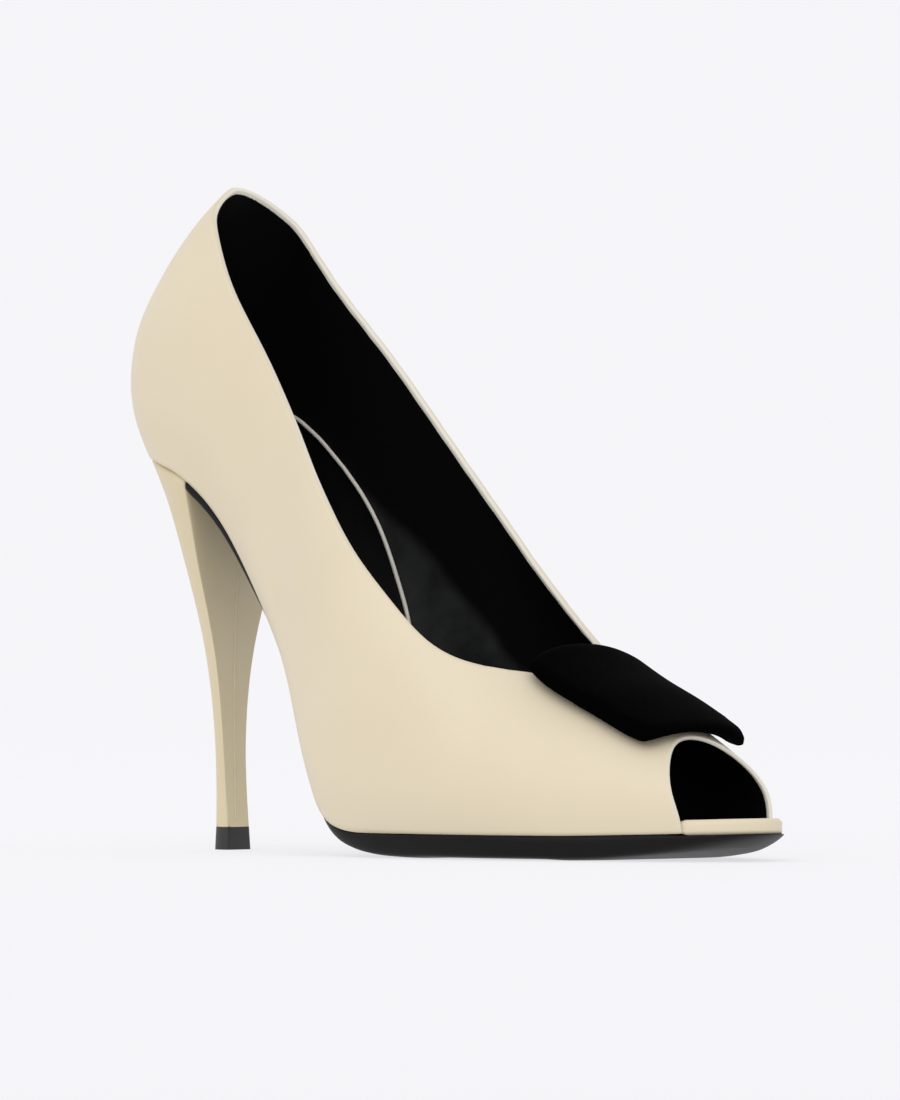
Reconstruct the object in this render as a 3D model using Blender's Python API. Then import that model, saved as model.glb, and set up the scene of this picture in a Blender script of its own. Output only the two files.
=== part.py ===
"""A peep toe pump for the right foot: a thin leather upper on a tall slim heel, with a flat plaque over the vamp.

X runs from the heel to the toe, Y to the wearer's left and Z up. Inside this file x is counted from the back of the
counter, y from the middle of the heel and z from the floor. At the end the whole shoe is moved so that the world's
origin lies on the floor under the middle of its box. "near" is the outer side of the foot, at -Y, and "far" the
inner side, at +Y.
"""
import math

import bmesh
import bpy
from mathutils import Vector

# Sizes of the last
LENGTH = 0.219
BALL_WIDTH = 0.079
SEAT_HEIGHT = 0.108
BACK_HEIGHT = 0.071
HEEL_AXIS = 0.030
INSTEP_HEIGHT = 0.100
BALL_SKEW = 0.20
TOE_SWING = 0.0024

# Sizes of the upper, the toe gap and the vamp measured back from the tip of the toe
UPPER_WALL = 0.0016
TOE_EDGE_WALL = 0.0010
TOE_GAP = 0.0145
VAMP_LENGTH = 0.0405
TOE_SET_BACK = 0.0120

# Sizes of the sole, insole and rand
SOLE_THICKNESS = 0.0059
SOLE_EDGE = 0.0006
SOLE_BEVEL = 0.0016
WAIST_INSET = 0.0022
INSOLE_THICKNESS = 0.0030
RAND_HEIGHT = 0.0034
RAND_WIDTH = 0.0030
EDGE_ROUND = 0.0008

# Sizes of the heel
TIP_HEIGHT = 0.0061
TIP_BACK = 0.0050
TIP_FRONT = 0.0022
TIP_HALF = 0.0042
TIP_FLARE = 0.0003
BREAST_FRONT = 0.0030
BREAST_CORNER = 0.22

# Sizes of the plaque
PLAQUE_LENGTH = 0.0392
PLAQUE_BACK_WIDTH = 0.0440
PLAQUE_BACK_SHIFT = -0.0021
PLAQUE_FRONT_WIDTH = 0.0400
PLAQUE_FRONT_SHIFT = 0.0005
PLAQUE_THICKNESS = 0.0038
PLAQUE_OVERHANG = 0.0011
PLAQUE_BACK_CURVE = 0.78
PLAQUE_FRONT_CURVE = 0.45
PLAQUE_UNDER_CURVE = 0.86
PLAQUE_EDGE_ROUND = 0.05
PLAQUE_CORNER_ROUND = 0.08

# Clearances between the pieces
GAP = 0.0003
SEAT_GAP = 0.0005
PLAQUE_GAP = 0.0005

# Places along the shoe that follow from its length
TOE_GAP_START = LENGTH - TOE_GAP
THROAT = TOE_GAP_START - VAMP_LENGTH
TOE_BEND = 0.86 * LENGTH
WAIST_START = 0.20 * LENGTH
WAIST_END = 0.42 * LENGTH
SWING_START = 0.76 * LENGTH
SWING_END = 0.88 * LENGTH
COUNTER_END = HEEL_AXIS + 0.36 * LENGTH
VAMP_LEAN_START = TOE_GAP_START - 0.24 * LENGTH
WAIST_CLEAR_END = 0.55 * LENGTH

# How the edge of the toe opening leans back as it rises, steeper at the foot on the near side
TOE_LEAN_FADE = 1.6
TOE_LEAN_NEAR = 2.0
TOE_LEAN_FAR = 1.9

# How gently the toe starts to swing
TOE_SWING_EASE = 1.5

# The upper's wall leans at its foot, and is this much wider there than it is thick
WALL_SLANT = 1.25

NEAR = -1
FAR = 1


def table(columns, *rows):
    """A short table: the names of its columns, then one row of numbers for each section."""
    names = columns.split()
    return [dict(zip(names, row)) for row in rows]


def read(rows, column, at):
    """The value of a column at a place between the rows, along a smooth curve that never overshoots them."""
    key = next(iter(rows[0]))
    places = [row[key] for row in rows]
    values = [row[column] for row in rows]
    last = len(rows) - 1
    if at <= places[0]:
        return values[0]
    if at >= places[last]:
        return values[last]
    slopes = [(values[i + 1] - values[i]) / (places[i + 1] - places[i]) for i in range(last)]

    def tangent(i):
        if i == 0:
            return slopes[0]
        if i == last:
            return slopes[-1]
        before, after = slopes[i - 1], slopes[i]
        if before * after <= 0:
            return 0.0
        return 2 * before * after / (before + after)

    i = max(k for k in range(last) if places[k] <= at)
    span = places[i + 1] - places[i]
    t = (at - places[i]) / span
    rise = values[i] * (1 + 2 * t) * (1 - t) ** 2 + values[i + 1] * t * t * (3 - 2 * t)
    return rise + span * (tangent(i) * t * (1 - t) ** 2 - tangent(i + 1) * t * t * (1 - t))


# The last, a row for each section along its length.
# floor: height of the featherline, as a share of the seat's height over the flat of the forepart
# near, far: half width at the widest, as a share of the ball's width
# near_foot, far_foot: half width at the featherline, as a share of the half width at the widest
# swell: height of the widest place over the featherline, as a share of the instep's height
# crest: height of the section over the featherline, as a share of the instep's height
# full: how full the shoulders of the section are, 2 for an ellipse
# ridge: how far the crest lies to the inner side, as a share of the ball's width
LAST = table(
    "along floor near far near_foot far_foot swell crest full ridge",
    (0.00, 1.020, 0.318, 0.318, 0.840, 0.840, 0.20, 0.835, 2.0, 0.00),
    (0.03, 1.000, 0.318, 0.318, 0.840, 0.840, 0.22, 0.850, 2.0, 0.00),
    (0.14, 0.928, 0.322, 0.320, 0.840, 0.840, 0.25, 0.885, 2.0, 0.00),
    (0.21, 0.810, 0.320, 0.320, 0.820, 0.800, 0.24, 0.916, 2.1, 0.00),
    (0.28, 0.607, 0.332, 0.320, 0.780, 0.700, 0.22, 0.970, 2.3, 0.00),
    (0.35, 0.398, 0.368, 0.330, 0.800, 0.640, 0.20, 1.018, 2.4, 0.00),
    (0.42, 0.178, 0.462, 0.352, 0.882, 0.660, 0.18, 1.050, 2.5, 0.00),
    (0.48, 0.036, 0.510, 0.396, 0.900, 0.750, 0.16, 1.015, 2.5, 0.00),
    (0.54, 0.000, 0.515, 0.440, 0.905, 0.830, 0.14, 0.850, 2.4, 0.01),
    (0.61, 0.000, 0.513, 0.474, 0.905, 0.870, 0.13, 0.650, 2.3, 0.02),
    (0.66, 0.000, 0.503, 0.487, 0.905, 0.880, 0.12, 0.533, 2.2, 0.02),
    (0.71, 0.000, 0.475, 0.480, 0.915, 0.905, 0.11, 0.446, 2.1, 0.03),
    (0.76, 0.000, 0.430, 0.445, 0.925, 0.920, 0.10, 0.381, 2.1, 0.03),
    (0.82, 0.000, 0.356, 0.385, 0.935, 0.935, 0.09, 0.320, 2.1, 0.03),
    (0.88, 0.003, 0.285, 0.325, 0.945, 0.945, 0.08, 0.243, 2.1, 0.03),
    (0.94, 0.007, 0.236, 0.284, 0.955, 0.955, 0.07, 0.163, 2.1, 0.03),
    (1.00, 0.012, 0.190, 0.235, 0.960, 0.960, 0.06, 0.108, 2.1, 0.03),
)

# The back of the counter, a row for each height over the seat as a share of the back's height.
# back: place of the back, axis: middle of its round, both as shares of the heel's axis
BACK = table(
    "height back axis",
    (-0.16, 0.40, 1.02),
    (0.000, 0.20, 0.98),
    (0.123, 0.04, 0.93),
    (0.247, 0.00, 0.90),
    (0.433, 0.08, 0.92),
    (0.630, 0.37, 1.07),
    (0.795, 0.67, 1.24),
    (0.918, 0.90, 1.39),
    (1.000, 1.05, 1.50),
    (1.080, 1.25, 1.63),
)

# The topline, a row for each place along the shoe, as shares of the length up to the throat and of the collar's
# height down to the throat.
TOPLINE = table(
    "along near far",
    (0.150, 1.000, 1.000),
    (0.190, 1.000, 1.000),
    (0.225, 0.951, 0.945),
    (0.305, 0.780, 0.803),
    (0.384, 0.660, 0.709),
    (0.445, 0.560, 0.635),
    (0.512, 0.455, 0.541),
    (0.590, 0.345, 0.431),
    (0.668, 0.237, 0.313),
    (0.756, 0.130, 0.192),
    (0.811, 0.072, 0.122),
    (0.866, 0.035, 0.070),
    (0.920, 0.017, 0.035),
    (0.960, 0.008, 0.015),
    (1.000, 0.000, 0.000),
)

# The sole along the shoe: its thickness as a share of the forepart's, how far its underside draws in, in bevels, and
# how far its edge lies inside the featherline, as a share of the waist's inset.
SOLE = table(
    "along thick draw waist",
    (0.14, 0.50, 0.4, 0.20),
    (0.22, 0.49, 0.4, 0.26),
    (0.27, 0.47, 0.4, 0.60),
    (0.31, 0.45, 0.4, 1.00),
    (0.38, 0.42, 0.5, 1.00),
    (0.44, 0.45, 0.6, 1.00),
    (0.49, 0.60, 0.9, 0.40),
    (0.54, 0.92, 1.0, 0.00),
    (0.58, 1.00, 1.0, 0.00),
    (0.82, 1.00, 1.0, 0.00),
    (0.90, 0.82, 1.5, 0.00),
    (0.96, 0.56, 3.0, 0.00),
    (1.00, 0.26, 4.4, 0.00),
)

# The sole's edge from its top down, as a share of its thickness, and how far it draws in, in bevels.
SOLE_PROFILE = table(
    "depth draw",
    (0.00, 0.25),
    (0.12, 0.00),
    (0.50, 0.15),
    (0.85, 0.60),
    (1.00, 1.30),
)

# The plaque's edge from its underside up, as a share of its thickness, and how far it draws in, in edge rounds.
PLAQUE_PROFILE = table(
    "lift draw",
    (0.00, 2.6),
    (0.18, 0.9),
    (0.45, 0.0),
    (0.78, 0.0),
    (1.00, 1.0),
)

# The heel from its tip at 0 to the seat at 1: each column runs from the tip's size, 0, to the seat's, 1.
HEEL = table(
    "height back half front",
    (0.00, 0.000, 0.000, 0.00),
    (0.08, 0.000, -0.008, -0.80),
    (0.18, 0.012, -0.008, -1.80),
    (0.35, 0.085, 0.045, -2.40),
    (0.485, 0.190, 0.155, -2.40),
    (0.66, 0.370, 0.420, -1.80),
    (0.765, 0.490, 0.610, -1.30),
    (0.86, 0.630, 0.750, -0.60),
    (0.95, 0.830, 0.910, 0.40),
    (1.00, 1.000, 1.000, 1.00),
)


def fade(x, start, end):
    """0 up to start, rising evenly to 1 at end."""
    return min(1.0, max(0.0, (x - start) / (end - start)))


def bottom(x, y=0.0):
    """Height of the last's underside. The ball's break runs obliquely, further back on the outer side."""
    skew = BALL_SKEW * fade(x, WAIST_START, WAIST_END)
    share = read(LAST, "floor", (x - skew * y) / LENGTH)
    return GAP + SOLE_THICKNESS + (SEAT_HEIGHT - GAP - SOLE_THICKNESS) * share


def close_toe(x):
    """The factor that rounds the widths off to nothing at the tip of the toe."""
    return math.sqrt(1 - fade(x, TOE_BEND, LENGTH) ** 2)


def toe_middle(x):
    """The middle of the toe, which curves to the inner side."""
    return TOE_SWING * fade(x, SWING_START, SWING_END) ** TOE_SWING_EASE


def widest(side, x):
    """The signed distance from the middle to the widest place of the wall."""
    half = BALL_WIDTH * read(LAST, "near" if side == NEAR else "far", x / LENGTH)
    middle = toe_middle(x)
    return middle + (side * half - middle) * close_toe(x)


def foot_width(side, x):
    """The featherline's signed distance from the middle."""
    share = read(LAST, "near_foot" if side == NEAR else "far_foot", x / LENGTH)
    middle = toe_middle(x)
    return middle + (widest(side, x) - middle) * share


def feather(side, x):
    """Height of the featherline on one side."""
    return bottom(x, foot_width(side, x))


def crest(x):
    """Height of the crest of the last."""
    return bottom(x) + INSTEP_HEIGHT * read(LAST, "crest", x / LENGTH)


def ridge(x):
    return BALL_WIDTH * read(LAST, "ridge", x / LENGTH)


def swell_height(side, x):
    """Height of the widest place of the wall on one side."""
    return feather(side, x) + INSTEP_HEIGHT * read(LAST, "swell", x / LENGTH)


def wall_width(side, x, z):
    """The wall's signed distance from the middle at a height, from the featherline in, out and over to the crest."""
    wide = widest(side, x)
    foot = foot_width(side, x)
    low = feather(side, x)
    swell = swell_height(side, x)
    if z <= swell:
        return wide - (wide - foot) * max(0.0, (swell - z) / (swell - low)) ** 2
    full = read(LAST, "full", x / LENGTH)
    rise = min(1.0, (z - swell) / (crest(x) - swell))
    return ridge(x) + (wide - ridge(x)) * (1 - rise ** full) ** (1 / full)


def back_place(column, z):
    """The back of the counter, or the middle of its round, at a height."""
    return HEEL_AXIS * read(BACK, column, (z - SEAT_HEIGHT) / BACK_HEIGHT)


def topline(side, x):
    """Height of the cut edge on one side, seen from that side."""
    column = "near" if side == NEAR else "far"
    share = read(TOPLINE, column, x / THROAT)
    throat = crest(THROAT)
    return throat + (SEAT_HEIGHT + BACK_HEIGHT - throat) * share


def find(low, high, test):
    """The place between low and high where the test turns from true to false."""
    for _ in range(40):
        middle = (low + high) / 2
        if test(middle):
            low = middle
        else:
            high = middle
    return low


def side_point(side, start, z):
    """A point of the wall on the column that starts at a place on the featherline. The columns lean with the back
    of the counter behind, and with the edge of the toe opening in front."""
    lean = (1 - fade(start, HEEL_AXIS, COUNTER_END)) ** 2
    x = start + (back_place("axis", z) - HEEL_AXIS) * lean
    set_back = TOE_SET_BACK * fade(start, VAMP_LEAN_START, TOE_GAP_START) ** TOE_LEAN_FADE
    rise = fade(z, feather(side, start), crest(start - set_back))
    x -= set_back * rise ** (TOE_LEAN_NEAR if side == NEAR else TOE_LEAN_FAR)
    return Vector((x, wall_width(side, x, z), z))


def back_point(side, turn, z):
    """A point of the counter's round, from its side at 0 to the middle of the back at 1."""
    angle = turn * math.pi / 2
    axis = back_place("axis", z)
    depth = axis - back_place("back", z)
    return Vector((axis - depth * math.sin(angle), wall_width(side, axis, z) * math.cos(angle), z))


def column_points(side, point, rows, ends_at_crest):
    """Points evenly spaced up one column of the wall, from the featherline to the topline or the crest."""
    top_limit = SEAT_HEIGHT + 1.2 * BACK_HEIGHT
    foot = find(0.0, top_limit, lambda z: z < feather(side, point(z).x))

    def below_edge(z):
        x = point(z).x
        edge = crest(x) if ends_at_crest else min(topline(side, x), crest(x))
        return z < edge

    top = find(foot + 0.001, top_limit, below_edge)
    steps = 60
    fine = [point(foot + (top - foot) * math.sin(k / steps * math.pi / 2)) for k in range(steps + 1)]
    lengths = [0.0]
    for a, b in zip(fine, fine[1:]):
        lengths.append(lengths[-1] + (b - a).length)
    points = []
    for row in range(rows + 1):
        share = row / rows
        target = lengths[-1] * share
        k = min(steps - 1, max(i for i in range(steps + 1) if lengths[i] <= target + 1e-12))
        part = (target - lengths[k]) / max(1e-12, lengths[k + 1] - lengths[k])
        points.append(fine[k].lerp(fine[k + 1], min(1.0, part)))
    return points


def new_object(name, mesh, colour, roughness):
    """An object with its own material, smooth shaded, carried by the shoe's empty."""
    material = bpy.data.materials.new(name)
    material.use_nodes = True
    shader = material.node_tree.nodes["Principled BSDF"]
    shader.inputs["Base Color"].default_value = (*colour, 1.0)
    shader.inputs["Roughness"].default_value = roughness
    mesh.materials.append(material)
    mesh.shade_smooth()
    mesh.set_sharp_from_angle(angle=math.radians(40))
    thing = bpy.data.objects.new(name, mesh)
    bpy.context.scene.collection.objects.link(thing)
    thing.parent = shoe
    return thing


def mesh_from(bm, name):
    """The finished mesh, with its faces turned outward."""
    bmesh.ops.recalc_face_normals(bm, faces=bm.faces)
    mesh = bpy.data.meshes.new(name)
    bm.to_mesh(mesh)
    bm.free()
    return mesh


def bridge(bm, first, second, closed=False):
    """Quads, or triangles where two corners are one, between two rows of vertices."""
    count = len(first)
    for i in range(count if closed else count - 1):
        j = (i + 1) % count
        corners = []
        for vert in (first[i], first[j], second[j], second[i]):
            if vert not in corners:
                corners.append(vert)
        if len(corners) > 2:
            bm.faces.new(corners)


def make_upper():
    """One hollow wall around the foot, open at the collar, at the toe and underneath, and skived thinner to the edge
    of the toe opening."""
    rows = 11
    vamp_columns = 9
    quarter_columns = 21
    back_columns = 8
    closer_in_front = 1.45

    starts = []
    for k in range(vamp_columns):
        starts.append(TOE_GAP_START + (THROAT - TOE_GAP_START) * k / vamp_columns)
    for k in range(quarter_columns + 1):
        back = (k / quarter_columns) ** closer_in_front
        starts.append(THROAT - (THROAT - HEEL_AXIS) * back)

    columns = []
    for side in (NEAR, FAR):
        half = []
        for start in starts:
            vamp = start > THROAT - 1e-9
            half.append(column_points(side, lambda z, s=start: side_point(side, s, z), rows, vamp))
        for k in range(1, back_columns):
            turn = k / back_columns
            half.append(column_points(side, lambda z, t=turn: back_point(side, t, z), rows, False))
        columns.append(half)
    middle = column_points(NEAR, lambda z: back_point(NEAR, 1.0, z), rows, False)
    ring = columns[0] + [middle] + columns[1][::-1]

    bm = bmesh.new()
    outer = []
    count = len(ring)
    for index, points in enumerate(ring):
        column = [bm.verts.new(point) for point in points]
        mirror = count - 1 - index
        if mirror < index and min(mirror, count - 1 - mirror) <= vamp_columns:
            bm.verts.remove(column[-1])
            column[-1] = outer[mirror][-1]
        outer.append(column)
    for first, second in zip(outer, outer[1:]):
        bridge(bm, first, second)
    bmesh.ops.recalc_face_normals(bm, faces=bm.faces)
    bm.normal_update()
    centre = Vector((0.5 * LENGTH, 0.0, 0.2 * SEAT_HEIGHT))
    probe = outer[count // 2 + 12][2]
    flip = -1.0 if probe.normal.dot(probe.co - centre) < 0 else 1.0

    twins = {}
    for index, column in enumerate(outer):
        wall = TOE_EDGE_WALL if index in (0, count - 1) else UPPER_WALL
        for row, vert in enumerate(column):
            if vert in twins:
                continue
            inward = -flip * vert.normal
            if row == 0:
                inward.z = 0.0
                inward.normalize()
            twins[vert] = bm.verts.new(vert.co + inward * wall)
    inner = [[twins[vert] for vert in column] for column in outer]
    for first, second in zip(inner, inner[1:]):
        bridge(bm, first, second)
    bridge(bm, [column[0] for column in outer], [column[0] for column in inner])
    bridge(bm, outer[0], inner[0])
    bridge(bm, outer[-1], inner[-1])
    quarter = range(vamp_columns, count - vamp_columns)
    bridge(bm, [outer[k][-1] for k in quarter], [inner[k][-1] for k in quarter])
    return new_object("upper", mesh_from(bm, "upper"), (0.75, 0.67, 0.52), 0.42)


def outline(side, stations, inset):
    """Points of the featherline on one side, drawn in by an inset that may change along the shoe."""
    points = [Vector((x, foot_width(side, x), 0.0)) for x in stations]
    moved = []
    for i, point in enumerate(points):
        before = points[max(0, i - 1)]
        after = points[min(len(points) - 1, i + 1)]
        along = (after - before).normalized()
        inward = Vector((along.y, -along.x, 0.0)) * side
        if i == len(points) - 1:
            inward = Vector((-1.0, 0.0, 0.0))
        moved.append(point + inward * inset(point.x))
    return moved


def stations_to_toe(start, straight, round_steps):
    """Places along the shoe, even up to the toe and then closer where it rounds."""
    places = [start + (TOE_BEND - start) * k / straight for k in range(straight)]
    return places + toe_stations(TOE_BEND, round_steps)


def toe_stations(start, steps):
    """Places round the toe, from a start past its bend to the tip, even along its round."""
    first = math.asin((start - TOE_BEND) / (LENGTH - TOE_BEND))
    angles = [first + (math.pi / 2 - first) * k / steps for k in range(steps + 1)]
    return [TOE_BEND + (LENGTH - TOE_BEND) * math.sin(angle) for angle in angles]


def cap(bm, near, far, height):
    """The broad face between a near and a far edge, divided so that it follows the last's underside."""
    strips = 4
    rows = [near]
    for k in range(1, strips):
        row = []
        for a, b in zip(near, far):
            if a is b:
                row.append(a)
                continue
            point = a.co.lerp(b.co, k / strips)
            row.append(bm.verts.new((point.x, point.y, height(point.x, point.y))))
        rows.append(row)
    rows.append(far)
    for first, second in zip(rows, rows[1:]):
        bridge(bm, first, second)
    return [row[0] for row in rows]


def plate(name, layers, colour, roughness):
    """A plate from layers, each a near and a far edge line and a height. The lines meet at the tip of the toe, and
    behind they meet too or are joined by a straight end."""
    bm = bmesh.new()
    rings = []
    for near, far, height in layers:
        round_end = (near[0] - far[0]).length < 1e-6
        near_verts = [bm.verts.new((p.x, p.y, height(p.x, p.y))) for p in near]
        far_verts = [bm.verts.new((p.x, p.y, height(p.x, p.y))) for p in far[1 if round_end else 0:-1]]
        far_verts = ([near_verts[0]] if round_end else []) + far_verts + [near_verts[-1]]
        rings.append((near_verts, far_verts))
    for (near_a, far_a), (near_b, far_b) in zip(rings, rings[1:]):
        bridge(bm, near_a, near_b)
        bridge(bm, far_a, far_b)
    first_end = cap(bm, *rings[0], layers[0][2])
    last_end = cap(bm, *rings[-1], layers[-1][2])
    if not round_end:
        between = rings[1:-1]
        end = first_end + [far[0] for near, far in between] + last_end[::-1]
        bm.faces.new(end + [near[0] for near, far in between[::-1]])
    return new_object(name, mesh_from(bm, name), colour, roughness)


def make_outsole():
    """The sole, from the heel's breast to the toe: its top under the featherline, further off where the waist is
    steep, its underside flat on the floor in the forepart, drawn in all round and lifted at the toe."""
    start = HEEL_AXIS + BREAST_FRONT + GAP
    stations = stations_to_toe(start, 26, 9)

    def edge(x):
        return -SOLE_EDGE + WAIST_INSET * read(SOLE, "waist", x / LENGTH)

    def clear(x):
        return GAP + (SEAT_GAP - GAP) * (1 - fade(x, WAIST_END, WAIST_CLEAR_END))

    layers = []
    for row in SOLE_PROFILE:
        def inset(x, row=row):
            return edge(x) + row["draw"] * SOLE_BEVEL * read(SOLE, "draw", x / LENGTH)

        def height(x, y, row=row):
            return bottom(x, y) - clear(x) - row["depth"] * SOLE_THICKNESS * read(SOLE, "thick", x / LENGTH)

        layers.append((outline(NEAR, stations, inset), outline(FAR, stations, inset), height))
    return plate("outsole", layers, (0.012, 0.013, 0.014), 0.38)


def seat_edge(inset, steps):
    """The featherline round the seat on the near side, from the middle of the back to the heel's axis."""
    points = []
    for k in range(steps):
        turn = 1 - k / steps
        top = SEAT_HEIGHT + 0.5 * BACK_HEIGHT
        foot = find(0.0, top, lambda z: z < bottom(back_point(NEAR, turn, z).x))
        point = back_point(NEAR, turn, foot)
        axis = back_place("axis", foot)
        angle = turn * math.pi / 2
        out = Vector((-math.sin(angle), -math.cos(angle), 0.0))
        points.append(Vector((point.x, point.y, 0.0)) - out * inset)
    return points


def make_insole():
    """The insole board with its sock, inside the wall from the back of the seat to the rand."""
    clear = WALL_SLANT * UPPER_WALL + GAP
    seat_half = abs(foot_width(NEAR, HEEL_AXIS)) - clear
    stations = stations_to_toe(HEEL_AXIS, 26, 9)
    back = seat_edge(clear, 7)
    layers = []
    for lift, draw in ((0.0, 0.0), (0.7, 0.0), (1.0, EDGE_ROUND)):
        def inset(x, draw=draw):
            toe = fade(x, TOE_GAP_START - RAND_WIDTH, TOE_GAP_START)
            return clear + (RAND_WIDTH + GAP - clear) * toe + draw

        def height(x, y, lift=lift):
            return bottom(x, y) + GAP + lift * INSOLE_THICKNESS

        seat = [Vector((point.x + draw, point.y * (1 - draw / seat_half), 0.0)) for point in back]
        near = seat + outline(NEAR, stations, inset)
        far = [Vector((point.x, -point.y, 0.0)) for point in seat] + outline(FAR, stations, inset)
        layers.append((near, far, height))
    return plate("insole", layers, (0.006, 0.006, 0.006), 0.5)


def make_rand():
    """The covered strip round the toe that closes the front of the opening, from one foot of it to the other."""
    stations = toe_stations(TOE_GAP_START + GAP, 9)
    profile = ((0.0, 0.0), (0.0, 0.75), (EDGE_ROUND, 1.0), (RAND_WIDTH, 1.0), (RAND_WIDTH, 0.0))
    rings = []
    bm = bmesh.new()
    for inset, lift in profile:
        near = outline(NEAR, stations, lambda x: inset)
        far = outline(FAR, stations, lambda x: inset)
        line = near + far[-2::-1]
        rings.append([bm.verts.new((p.x, p.y, bottom(p.x, p.y) + lift * RAND_HEIGHT)) for p in line])
    for first_ring, second_ring in zip(rings, rings[1:] + rings[:1]):
        bridge(bm, first_ring, second_ring)
    bm.faces.new([ring[0] for ring in rings])
    bm.faces.new([ring[-1] for ring in rings])
    return new_object("toe_rand", mesh_from(bm, "toe_rand"), (0.75, 0.67, 0.52), 0.42)


def heel_ring(back, front, half, steps):
    """A D shaped ring round the heel: a round back, full sides and a nearly flat breast with round corners."""
    points = []
    for k in range(steps):
        angle = math.pi * k / steps - math.pi / 2
        points.append((-back * math.cos(angle), half * math.sin(angle)))
    front_steps = steps // 2
    for k in range(front_steps):
        angle = math.pi / 2 - math.pi * k / front_steps
        wide = math.copysign(abs(math.sin(angle)) ** BREAST_CORNER, math.sin(angle))
        deep = max(0.0, math.cos(angle))
        points.append((front * deep ** BREAST_CORNER if deep > 1e-9 else 0.0, half * wide))
    return points


def make_heel():
    """The covered heel: its top follows the seat, its breast is nearly upright and its foot flares a little."""
    steps = 20
    heights = (0.0, 0.05, 0.12, 0.22, 0.34, 0.45, 0.55, 0.65, 0.74, 0.82, 0.89, 0.95, 1.0)
    foot = TIP_HEIGHT + GAP
    seat_back = HEEL_AXIS - back_place("back", SEAT_HEIGHT)
    seat_half = abs(foot_width(NEAR, HEEL_AXIS))
    bm = bmesh.new()
    rings = []
    tops = [HEEL_AXIS + x for x, y in heel_ring(seat_back, BREAST_FRONT, seat_half, steps)]
    for share in heights:
        back = TIP_BACK + (seat_back - TIP_BACK) * read(HEEL, "back", share)
        half = TIP_HALF + (seat_half - TIP_HALF) * read(HEEL, "half", share)
        front = TIP_FRONT + (BREAST_FRONT - TIP_FRONT) * read(HEEL, "front", share)
        ring = []
        for (x, y), top_x in zip(heel_ring(back, front, half, steps), tops):
            top = bottom(top_x) - SEAT_GAP
            ring.append(bm.verts.new((HEEL_AXIS + x, y, foot + (top - foot) * share)))
        rings.append(ring)
    for first, second in zip(rings, rings[1:]):
        bridge(bm, first, second, closed=True)
    bm.faces.new(rings[0])
    count = len(rings[0])
    top = rings[-1]
    half_count = steps // 2
    left = top[half_count::-1]
    right = top[half_count:steps + 1]
    for i in range(half_count):
        corners = []
        for vert in (left[i], left[i + 1], right[i + 1], right[i]):
            if vert not in corners:
                corners.append(vert)
        bm.faces.new(corners)
    bm.faces.new([top[0]] + [top[i] for i in range(count - 1, steps - 1, -1)])
    return new_object("heel", mesh_from(bm, "heel"), (0.70, 0.62, 0.48), 0.42)


def make_top_piece():
    """The tip that the heel stands on."""
    bm = bmesh.new()
    rings = []
    for flare, z in ((TIP_FLARE, 0.0), (0.0, TIP_HEIGHT)):
        ring = heel_ring(TIP_BACK + flare, TIP_FRONT + flare, TIP_HALF + flare, 20)
        rings.append([bm.verts.new((HEEL_AXIS + x, y, z)) for x, y in ring])
    bridge(bm, rings[0], rings[1], closed=True)
    bm.faces.new(rings[0])
    bm.faces.new(rings[1])
    return new_object("top_piece", mesh_from(bm, "top_piece"), (0.028, 0.026, 0.025), 0.5)


def plaque_point(along, across, lift):
    """A point over the vamp: along from the back edge at 0 to the front at 1, across from -1 to 1, and lift from the
    underside at 0, which hugs the vamp, to the flatter face at 1."""
    front = TOE_GAP_START - TOE_SET_BACK + PLAQUE_OVERHANG
    x = front - PLAQUE_LENGTH * (1 - along)
    half = (PLAQUE_BACK_WIDTH + (PLAQUE_FRONT_WIDTH - PLAQUE_BACK_WIDTH) * along) / 2
    shift = PLAQUE_BACK_SHIFT + (PLAQUE_FRONT_SHIFT - PLAQUE_BACK_SHIFT) * along
    aside = shift + half * across
    y = ridge(x) + aside
    side = NEAR if aside < 0 else FAR
    top = crest(x)
    full = read(LAST, "full", x / LENGTH)
    reach = min(0.99, abs(aside / (widest(side, x) - ridge(x))))
    sag = (top - swell_height(side, x)) * (1 - (1 - reach ** full) ** (1 / full))
    face = PLAQUE_BACK_CURVE + (PLAQUE_FRONT_CURVE - PLAQUE_BACK_CURVE) * along
    curve = PLAQUE_UNDER_CURVE + (face - PLAQUE_UNDER_CURVE) * lift
    surface = Vector((x, y, top - curve * sag))
    step = 0.002
    slope = math.atan2(crest(x - step) - crest(x + step), 2 * step)
    up = Vector((math.sin(slope), 0.0, math.cos(slope)))
    return surface + up * (PLAQUE_GAP + lift * PLAQUE_THICKNESS)


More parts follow.
